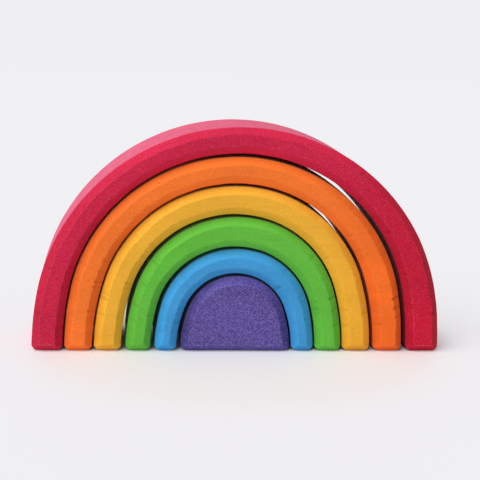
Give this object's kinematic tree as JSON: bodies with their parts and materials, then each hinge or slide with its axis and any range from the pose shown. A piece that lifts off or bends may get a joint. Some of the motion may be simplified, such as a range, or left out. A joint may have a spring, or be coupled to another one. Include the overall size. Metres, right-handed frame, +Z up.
{
  "type": "rainbow stacker",
  "caption": "Nesting wooden rainbow stacker: chamfered arches in bright stains standing over a solid half-round core, each lifted off or stacked again by hand.",
  "frame": {"origin": "on the table, under the middle of the outermost arch", "axes": "+X along the row from leg to leg, +Y through the depth from front to back, +Z up"},
  "size_m": [0.17, 0.04, 0.0931],
  "materials": {
    "purple_stain": "matte water-based stain",
    "blue_stain": "matte water-based stain",
    "green_stain": "matte water-based stain",
    "yellow_stain": "matte water-based stain",
    "orange_stain": "matte water-based stain",
    "red_stain": "matte water-based stain"
  },
  "bodies": {
    "purple_half_round": {"purple_half_round": "purple_stain"},
    "blue_arch": {"blue_arch": "blue_stain"},
    "green_arch": {"green_arch": "green_stain"},
    "yellow_arch": {"yellow_arch": "yellow_stain"},
    "orange_arch": {"orange_arch": "orange_stain"},
    "red_arch": {"red_arch": "red_stain"}
  },
  "joints": [
    {"name": "blue_lift", "type": "slide", "parent": "purple_half_round", "child": "blue_arch", "axis": [0, 0, 1], "range_m": [0, 0.036]},
    {"name": "green_lift", "type": "slide", "parent": "blue_arch", "child": "green_arch", "axis": [0, 0, 1], "range_m": [0, 0.048]},
    {"name": "yellow_lift", "type": "slide", "parent": "green_arch", "child": "yellow_arch", "axis": [0, 0, 1], "range_m": [0, 0.061]},
    {"name": "orange_lift", "type": "slide", "parent": "yellow_arch", "child": "orange_arch", "axis": [0, 0, 1], "range_m": [0, 0.074]},
    {"name": "red_lift", "type": "slide", "parent": "orange_arch", "child": "red_arch", "axis": [0, 0, 1], "range_m": [0, 0.086]}
  ]
}
